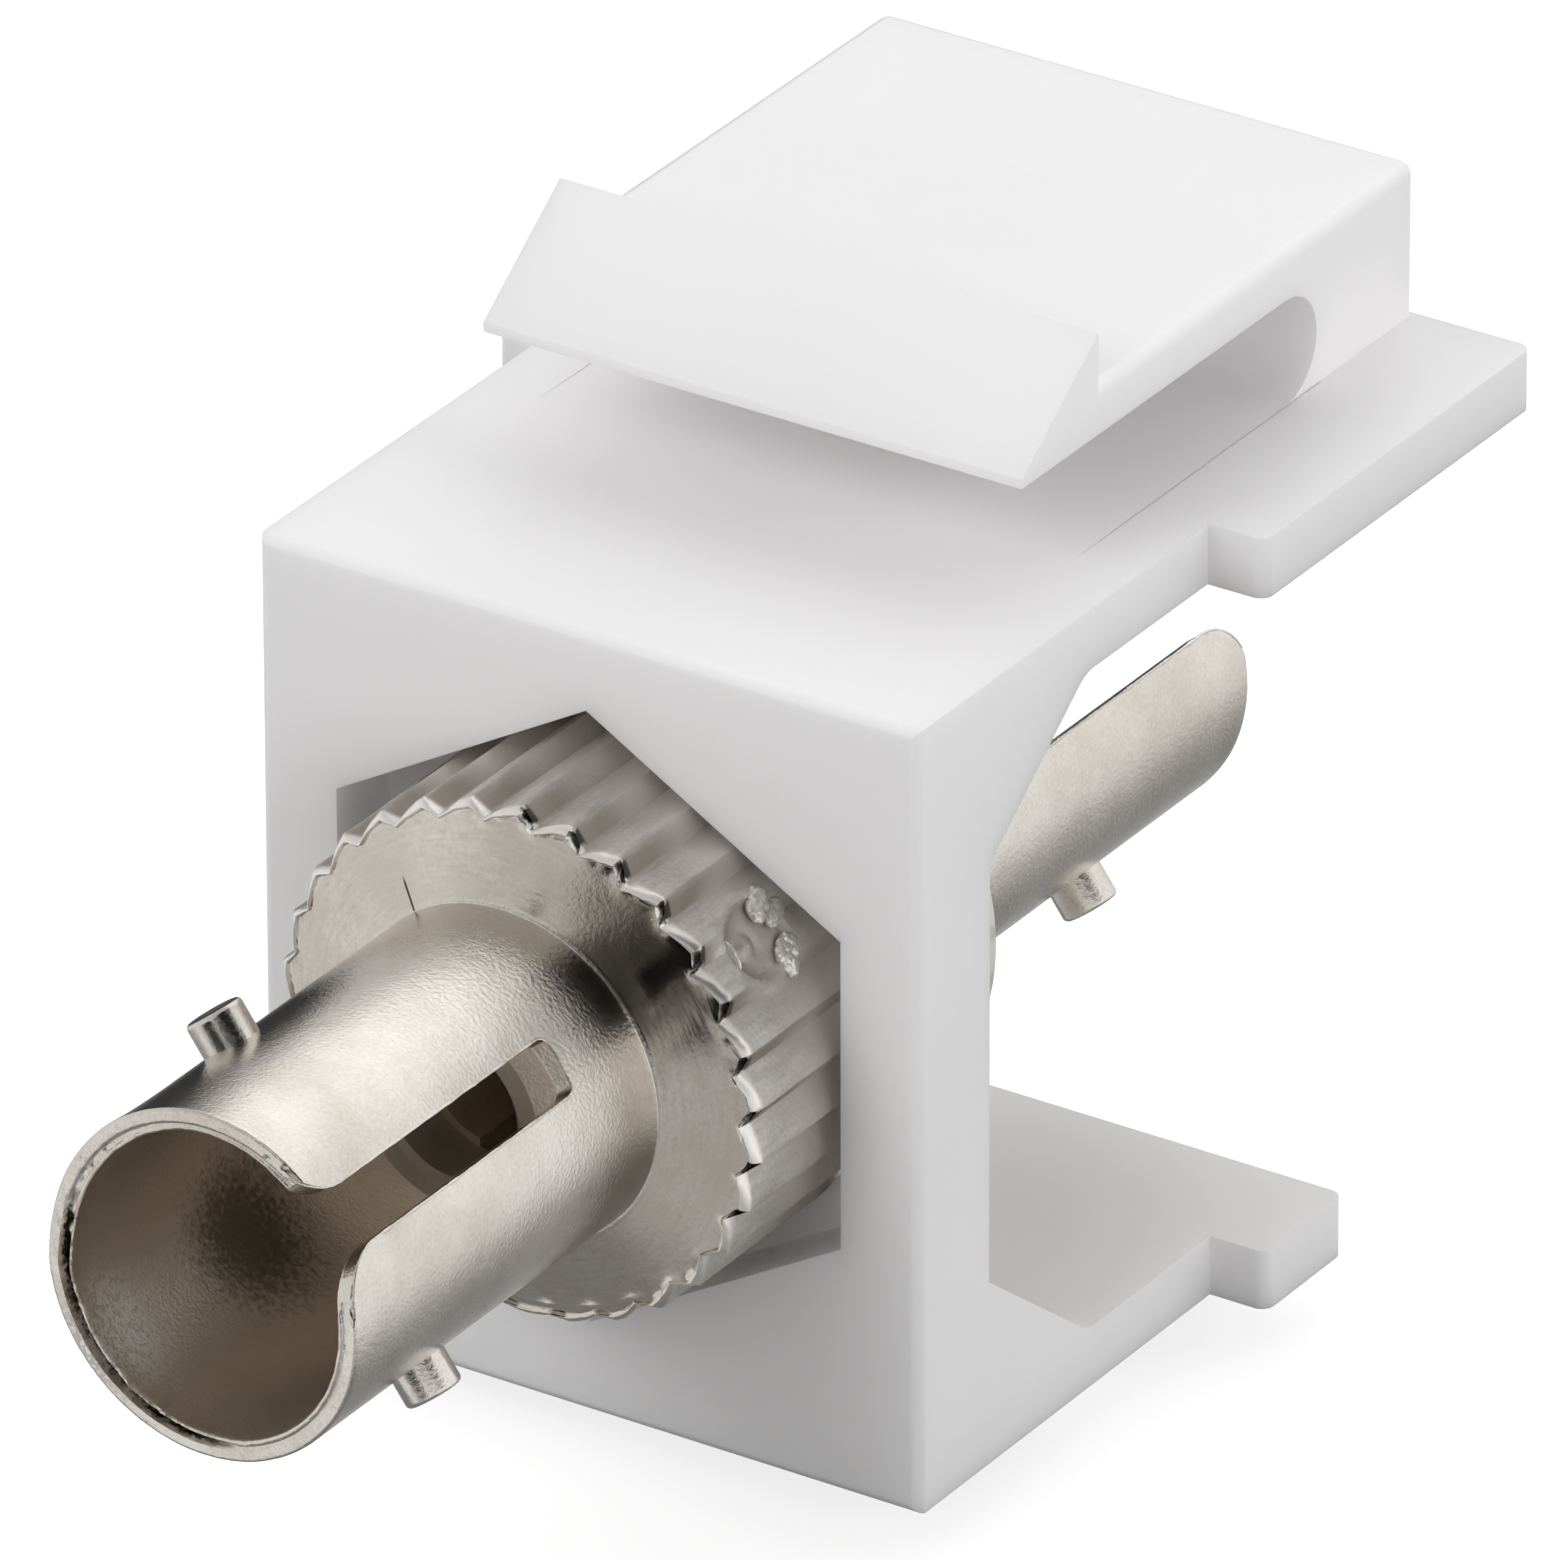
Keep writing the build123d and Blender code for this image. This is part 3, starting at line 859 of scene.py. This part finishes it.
def makeFlutes(bm, s, wear):
    tip, front = s["fluteTip"], s["barrelFront"]
    inner = tip - wear["ring"]
    for v in bm.verts:
        y = v.co.y / mm
        radius, degrees = polar(v.co)
        if radius < inner or y > s["barrelBack"] + 0.001:
            continue
        tooth = toothShare(s, degrees)
        steep = wear["steepShare"][0] < tooth < wear["steepShare"][1] and toothShare(s, degrees + 0.5) > tooth
        under = bell(degrees, wear["underAngle"], wear["underHalf"])
        under *= clamp((front + wear["underEnd"] - y) / wear["underFade"])
        depth = s["fluteDepth"] * (1 - wear["underShallow"] * under)
        edge = tip - depth * (1 - tooth) + wear["underRise"] * under
        wanted = inner + (radius - inner) * (edge - inner) / (tip - inner)
        rim = max(0.0, 1 - abs(y - front) / wear["rimHalf"]) * (radius > tip - wear["rimBand"])
        worn = noise.noise(v.co / mm * 3.4) + 0.7 * noise.noise(v.co / mm * 9)
        wanted += wear["wave"] * noise.noise(v.co / mm * 1.6) + rim * wear["rimWear"] * worn * (1 - 0.7 * under)
        stretch(v, wanted / radius)
        out = clamp((radius - inner) / 0.5)
        shift = rim * wear["rimWear"] * worn - wear["valleyBack"] * (1 - tooth) * out * (y < front + 0.2)
        if steep and rim and wear["nickAngles"][0] < degrees < wear["nickAngles"][1]:
            shift += wear["nickDepth"] * bell(radius, tip - 0.1, wear["nickWidth"]) * max(0, 0.8 + worn)
        if rim:
            shift += wear["underBack"] * under
        v.co.y += mm * shift


scarShape = {
    "angle": 36.0,
    "place": -0.62,
    "radius": 0.9,
    "depth": 0.24,
    "reach": 1.8,
    "innermost": 4.9,
    "squash": 0.86,
    "wander": 0.08,
    "floorWave": 0.02,
    "swirl": (0.33, 0.09, 0.22),    # a small dome: place along Y, rise, half width
    "swirlRing": (0.3, 0.05, 0.09),  # the ditch round it: radius, depth, half width
    "edge": 0.12,
    "skirt": (0.35, 0.3),           # how far the flutes' smooth end reaches, and over what it fades
    "skirtShare": 0.65,
    "skirtDrop": 0.1,
}


def makeGateScar(bm, s, scar):
    # round flat floor with a small swirl; the flutes run out near it
    centre = outward(scar["angle"]) * s["fluteTip"] + Vector((0, scar["place"], 0))
    side = along(scar["angle"])
    start = s["barrelFront"] + 0.1
    domeAt, domeRise, domeHalf = scar["swirl"]
    ditchAt, ditchDepth, ditchHalf = scar["swirlRing"]
    for v in bm.verts:
        point = v.co / mm
        radius = math.hypot(point.x, point.z)
        if radius < scar["innermost"] or point.y < start or (point - centre).length > scar["reach"]:
            continue
        u = (point - centre).dot(side)
        w = point.y - scar["place"]
        far = math.hypot(u / scar["squash"], w) + scar["wander"] * noise.noise(point * 1.8)
        floor = s["fluteTip"] - scar["depth"] + scar["floorWave"] * noise.noise(point * 4)
        swirl = math.hypot(u, w + domeAt)
        floor += domeRise * bell(swirl, 0, domeHalf) - ditchDepth * bell(swirl, ditchAt, ditchHalf)
        inside = clamp((scar["radius"] - far) / scar["edge"])
        skirt = clamp((scar["radius"] + scar["skirt"][0] - far) / scar["skirt"][1])
        level = radius * (1 - scar["skirtShare"]) + (s["fluteTip"] - scar["skirtDrop"]) * scar["skirtShare"]
        around = radius * (1 - skirt) + level * skirt
        stretch(v, (around * (1 - inside) + floor * inside) / radius)


gateRags = [   # torn metal round the scar: angle, place along Y, radius, turn in degrees, half length, width and height
    (41.8, -0.18, 5.18, 46, 0.42, 0.25, 0.14),
    (38.6, 0.06, 5.18, 34, 0.34, 0.22, 0.13),
    (31.0, 0.0, 5.17, -54, 0.32, 0.22, 0.14),
    (28.4, -0.2, 5.16, -62, 0.36, 0.21, 0.13),
    (36.2, -1.46, 5.14, 88, 0.3, 0.055, 0.12),
    (35.8, -0.95, 5.07, 20, 0.08, 0.06, 0.06),
]
ragRoughness = 0.55   # of a rag's smaller half size


def makeGateRags(rags):
    bm = bmesh.new()
    for index, (angle, y, radius, turn, length, width, height) in enumerate(rags):
        out, across = outward(angle), along(angle)
        t = math.radians(turn)
        front = Vector((0, 1, 0)) * math.cos(t) + across * math.sin(t)
        side = out.cross(front)
        place = out * radius + Vector((0, y, 0))
        ragMatrix = Matrix((
            (front.x * length, side.x * width, out.x * height, place.x),
            (front.y * length, side.y * width, out.y * height, place.y),
            (front.z * length, side.z * width, out.z * height, place.z),
            (0, 0, 0, 1 / mm))) * mm
        grown = bmesh.ops.create_icosphere(bm, subdivisions=5, radius=1, matrix=ragMatrix)
        for v in grown["verts"]:
            point = v.co / mm
            rough = noise.noise(point * 3.5 + Vector((index, 0, 0)))
            rough += 0.45 * noise.noise(point * 9) + 0.2 * noise.noise(point * 20)
            v.co += (point - place).normalized() * ragRoughness * min(width, height) * rough * mm
    bmesh.ops.recalc_face_normals(bm, faces=bm.faces)
    newPiece("gateRags", bm, tornNickel)


def slotOutline(s, q):
    # (place from the mouth, half width) along one side of the slot, mouth first
    half, m, e = q["width"] / 2, q["mouthRound"], q["endRound"]
    end = s["boreDepth"] - q["webGap"]
    side = [(-q["overrun"], half + m)]
    side += [(m * (1 - math.cos(a)), half + m * (1 - math.sin(a))) for a in spaced(0, math.pi / 2, q["mouthSteps"])]
    side += [(end - e + e * math.sin(a), half - e + e * math.cos(a)) for a in spaced(0, math.pi / 2, q["endSteps"])]
    return side


def bothSides(side):
    return side + [(y, -w) for y, w in reversed(side)]


def slotCutter(s, q, mouth, way):
    out, across = outward(q["angle"]), along(q["angle"])
    bm = bmesh.new()
    verts = [bm.verts.new((across * w + Vector((0, mouth + way * y, 0)) + out * q["cutFrom"]) * mm)
             for y, w in bothSides(slotOutline(s, q))]
    grown = bmesh.ops.extrude_face_region(bm, geom=[bm.faces.new(verts)])
    top = [g for g in grown["geom"] if isinstance(g, bmesh.types.BMVert)]
    bmesh.ops.translate(bm, verts=top, vec=out * q["cutHeight"] * mm)
    bmesh.ops.recalc_face_normals(bm, faces=bm.faces)
    return meshFrom("slotCutter", bm)


def cutSlot(piece, s, q, mouth, way):
    cutter = addObject("slotCutter", slotCutter(s, q, mouth, way))
    mod = piece.modifiers.new("slot", "BOOLEAN")
    mod.operation = "DIFFERENCE"
    mod.solver = "EXACT"
    mod.object = cutter
    bpy.context.view_layer.update()
    shape = bpy.data.meshes.new_from_object(piece.evaluated_get(bpy.context.evaluated_depsgraph_get()))
    piece.modifiers.clear()
    old = piece.data
    piece.data = shape
    bpy.data.meshes.remove(old)
    bpy.data.objects.remove(cutter)
    piece.data.set_sharp_from_angle(angle=math.radians(s["smoothAngle"]))


def makeSlotBurr(name, s, q, mouth, way):
    # thin raised bead that the slot's milling left along its outer edge
    path = bothSides([p for p in slotOutline(s, q) if p[0] > 0.05])
    fine = []
    for (y0, w0), (y1, w1) in zip(path, path[1:]):
        count = max(1, round(math.hypot(y1 - y0, w1 - w0) / q["burrStep"]))
        fine += [(y0 + (y1 - y0) * k / count, w0 + (w1 - w0) * k / count) for k in range(count)]
    fine.append(path[-1])
    curve = bpy.data.curves.new(name, "CURVE")
    curve.dimensions = "3D"
    curve.bevel_depth = q["burrRadius"] * mm
    curve.bevel_resolution = 2
    curve.use_fill_caps = True
    spline = curve.splines.new("POLY")
    spline.points.add(len(fine) - 1)
    out, across = outward(q["angle"]), along(q["angle"])
    for point, (y, w) in zip(spline.points, fine):
        rise = math.sqrt(s["tubeRadius"] ** 2 - w * w) - q["burrSunk"]
        jitter = noise.noise(Vector((y, w, 2)) * 3) * q["burrSunk"]
        place = (out * (rise + jitter) + across * w + Vector((0, mouth + way * y, 0))) * mm
        point.co = (*place, 1)
        point.radius = 0.7 + 0.9 * noise.noise(Vector((y, w, 7)) * 2.3) ** 2 + 0.3 * noise.noise(Vector((y, w, 9)) * 6)
    line = addObject(name + "Curve", curve)
    bpy.context.view_layer.update()
    bm = bmesh.new()
    bm.from_mesh(line.evaluated_get(bpy.context.evaluated_depsgraph_get()).to_mesh())
    bpy.data.objects.remove(line)
    newPiece(name, bm, nickel)


def makeFrontShell(s, q):
    bm = spinProfile(frontProfile(s, ringCounts), s["frontSteps"])
    turn = Matrix.Rotation(math.radians(s["startTurn"]), 3, "Y")
    bmesh.ops.rotate(bm, cent=(0, 0, 0), matrix=turn, verts=bm.verts)
    makeFlutes(bm, s, toothWear)
    makeGateScar(bm, s, scarShape)
    roughenMouth(bm, s, mouthWear, s["frontMouth"], 1, 1)
    openMouth(bm, s)
    bmesh.ops.recalc_face_normals(bm, faces=bm.faces)
    piece = newPiece("frontShellCasting", bm, nickel)
    cutSlot(piece, s, q, s["frontMouth"], 1)
    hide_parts("front_shell")


def makeRearShell(s, q):
    bm = spinProfile(rearProfile(s, ringCounts), s["rearSteps"])
    roughenMouth(bm, s, mouthWear, s["backMouth"], -1, 21)
    bmesh.ops.recalc_face_normals(bm, faces=bm.faces)
    piece = newPiece("rearShellCasting", bm, nickel)
    cutSlot(piece, s, q, s["backMouth"], -1)
    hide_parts("rear_shell")


makeFrontShell(shellSizes, slotSizes)
makeRearShell(shellSizes, slotSizes)
makeSlotBurr("frontSlotBurr", shellSizes, slotSizes, shellSizes["frontMouth"], 1)
makeSlotBurr("rearSlotBurr", shellSizes, slotSizes, shellSizes["backMouth"], -1)
makeGateRags(gateRags)
print("shells made")


# bayonet pins with a small bevel on their ends; holders and sleeve keep their solids

pinSizes = {
    "radius": 0.575,
    "height": 0.67,
    "rootDepth": 0.05,
    "setback": 3.97,
    "bevel": 0.1,
    "bevelSteps": 4,
    "sides": 48,
    "smoothAngle": 35,
}


def makePin(name, node, angle, y, s, shell):
    bm = bmesh.new()
    low, high = shell["boreRadius"] + s["rootDepth"], shell["tubeRadius"] + s["height"]
    bmesh.ops.create_cone(bm, cap_ends=True, segments=s["sides"], radius1=s["radius"] * mm, radius2=s["radius"] * mm,
                          depth=(high - low) * mm)
    top = [e for e in bm.edges if all(v.co.z > 0 for v in e.verts)]
    bmesh.ops.bevel(bm, geom=top, offset=s["bevel"] * mm, offset_type="OFFSET", segments=s["bevelSteps"], profile=0.5,
                    affect="EDGES", material=-1)
    turn = outward(angle).to_track_quat("Z", "Y").to_matrix().to_4x4()
    place = Matrix.Translation((outward(angle) * (low + high) / 2 + Vector((0, y, 0))) * mm)
    bmesh.ops.transform(bm, matrix=place @ turn, verts=bm.verts)
    piece = newPiece(name, bm, pinNickel)
    piece.data.set_sharp_from_angle(angle=math.radians(s["smoothAngle"]))
    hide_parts(node)


frontPinY = shellSizes["frontMouth"] + pinSizes["setback"]
rearPinY = shellSizes["backMouth"] - pinSizes["setback"]
for name, node, turn, y in (("frontUpperPin", "front_upper_lug", 90, frontPinY),
                            ("frontLowerPin", "front_lower_lug", -90, frontPinY),
                            ("rearUpperPin", "rear_upper_lug", 90, rearPinY),
                            ("rearLowerPin", "rear_lower_lug", -90, rearPinY)):
    makePin(name, node, slotSizes["angle"] + turn, y, pinSizes, shellSizes)
for node, material in (("front_sleeve_holder", holderMetal), ("rear_sleeve_holder", holderMetal),
                       ("split_sleeve", bronze)):
    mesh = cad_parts[node].data
    mesh.materials.clear()
    mesh.materials.append(material)
print("pins, holders and sleeve made")


# floor, lights and camera

stageLook = {
    "floorHalf": 0.4,                # m
    "floorRough": 0.9,
    "floorSeen": (0.42, 0.42, 0.42),
    "floorGlow": 0.76,
    "floorGiven": (0.2, 0.2, 0.2),   # what it gives back to the part
    "sky": ((0.16, 0.27), (0.29, 0.85), (0.5, 0.95), (0.75, 0.86), (0.9, 0.62)),   # height from 0 to 1, brightness
}
roomPatches = [   # soft boxes and dark openings of the room: azimuth, elevation, inner and outer angle, brightness
    (-5, 42, 24, 32, 1.45),
    (60, 20, 20, 60, 1.15),
    (-44, -4, 15, 25, 0.04),
    (-178, -28, 14, 30, 0.55),
    (-156, 3, 6, 18, 0.7),
    (-147, -30, 10, 18, 1.0),
    (-176, -4, 11.5, 16, 0.0),
    (176, 5, 15, 20, 0.0),
    (112, 48, 24, 32, 0.0),
    (145, 23, 8, 14, 0.03),
]
fillLights = [   # large soft lamps that metal doesn't mirror: name, place in m, size in m, power
    ("frontFill", (-0.15, -0.265, 0.21), 0.18, 0.38),
    ("sideFill", (0.33, -0.12, 0.12), 0.2, 0.4),
]


def makeFloor(look):
    bm = bmesh.new()
    bmesh.ops.create_grid(bm, x_segments=1, y_segments=1, size=look["floorHalf"])
    bmesh.ops.translate(bm, verts=bm.verts, vec=(0, 0, cadBounds[0][2]))
    mesh = meshFrom("floor", bm)
    floor = addObject("floor", mesh)
    mat, nodes, links, shader, coords = startMaterial("paleFloor")
    seen = nodes.new("ShaderNodeLightPath").outputs["Is Camera Ray"]
    links.new(mixColours(nodes, links, seen, look["floorGiven"], look["floorSeen"]), shader.inputs["Base Color"])
    glow = nodes.new("ShaderNodeMath")
    glow.operation = "MULTIPLY"
    glow.inputs[1].default_value = look["floorGlow"]
    links.new(seen, glow.inputs[0])
    shader.inputs["Emission Color"].default_value = (1, 1, 1, 1)
    links.new(glow.outputs["Value"], shader.inputs["Emission Strength"])
    shader.inputs["Roughness"].default_value = look["floorRough"]
    shader.inputs["Specular IOR Level"].default_value = 0.0
    floor.visible_glossy = False
    mesh.materials.append(mat)


def skyWay(azimuth, elevation):
    a, e = math.radians(azimuth), math.radians(elevation)
    return Vector((math.sin(a) * math.cos(e), math.cos(a) * math.cos(e), math.sin(e)))


def makeRoom(look, patches):
    world = bpy.data.worlds.new("studio")
    world.use_nodes = True
    nodes, links = world.node_tree.nodes, world.node_tree.links
    back = nodes["Background"]
    way = nodes.new("ShaderNodeTexCoord").outputs["Generated"]
    parts = nodes.new("ShaderNodeSeparateXYZ")
    links.new(way, parts.inputs["Vector"])
    ramp = nodes.new("ShaderNodeValToRGB")
    stops = ramp.color_ramp.elements
    for index, (place, value) in enumerate(look["sky"]):
        stop = stops[index] if index < 2 else stops.new(place)
        stop.position = place
        stop.color = (value, value, value, 1)
    links.new(spread(nodes, links, parts.outputs["Z"], (-1, 1)), ramp.inputs["Fac"])
    last = ramp.outputs["Color"]
    for azimuth, elevation, inner, outer, value in patches:
        dot = nodes.new("ShaderNodeVectorMath")
        dot.operation = "DOT_PRODUCT"
        dot.inputs[1].default_value = skyWay(azimuth, elevation)
        links.new(way, dot.inputs[0])
        edges = [math.cos(math.radians(angle)) for angle in (outer, inner)]
        mask = spread(nodes, links, dot.outputs["Value"], edges)
        mask.node.interpolation_type = "SMOOTHSTEP"
        last = mixColours(nodes, links, mask, last, (value, value, value))
    links.new(last, back.inputs["Color"])
    back.inputs["Strength"].default_value = 1.0
    bpy.context.scene.world = world


def addLight(name, place, size, power):
    data = bpy.data.lights.new(name, "AREA")
    data.shape = "RECTANGLE"
    data.size = data.size_y = size
    data.energy = power
    light = addObject(name, data)
    light.location = place
    light.rotation_euler = (-Vector(place)).to_track_quat("-Z", "Y").to_euler()
    light.visible_glossy = False


makeFloor(stageLook)
makeRoom(stageLook, roomPatches)
for lamp in fillLights:
    addLight(*lamp)

cameraPlace = {
    "azimuth": 33.071,
    "elevation": 27.860,
    "roll": -0.127,
    "distance": 441.711,    # mm
    "focal": 24241.591,     # pixels of the photo's frame
    "frameWidth": 1552,
    "sensorWidth": 36,
    "clip": (0.01, 10),     # m
    "target": (4.148, 0.0, 6.006),
}


def makeCamera(place):
    a, e, t = (math.radians(place[k]) for k in ("azimuth", "elevation", "roll"))
    back = Vector((math.sin(a) * math.cos(e), -math.cos(a) * math.cos(e), math.sin(e)))
    right = Vector((math.cos(a), math.sin(a), 0))
    up = back.cross(right)
    tiltedRight = right * math.cos(t) + up * math.sin(t)
    tiltedUp = -right * math.sin(t) + up * math.cos(t)
    spot = (Vector(place["target"]) + back * place["distance"]) * mm
    data = bpy.data.cameras.new("camera")
    data.sensor_fit = "HORIZONTAL"
    data.sensor_width = place["sensorWidth"]
    data.lens = place["focal"] / place["frameWidth"] * place["sensorWidth"]
    data.clip_start, data.clip_end = place["clip"]
    camera = addObject("camera", data)
    camera.matrix_world = Matrix.Translation(spot) @ Matrix((tiltedRight, tiltedUp, back)).transposed().to_4x4()
    bpy.context.scene.camera = camera


makeCamera(cameraPlace)
bpy.context.scene.view_settings.view_transform = "Standard"
print("stage, lights and camera made")
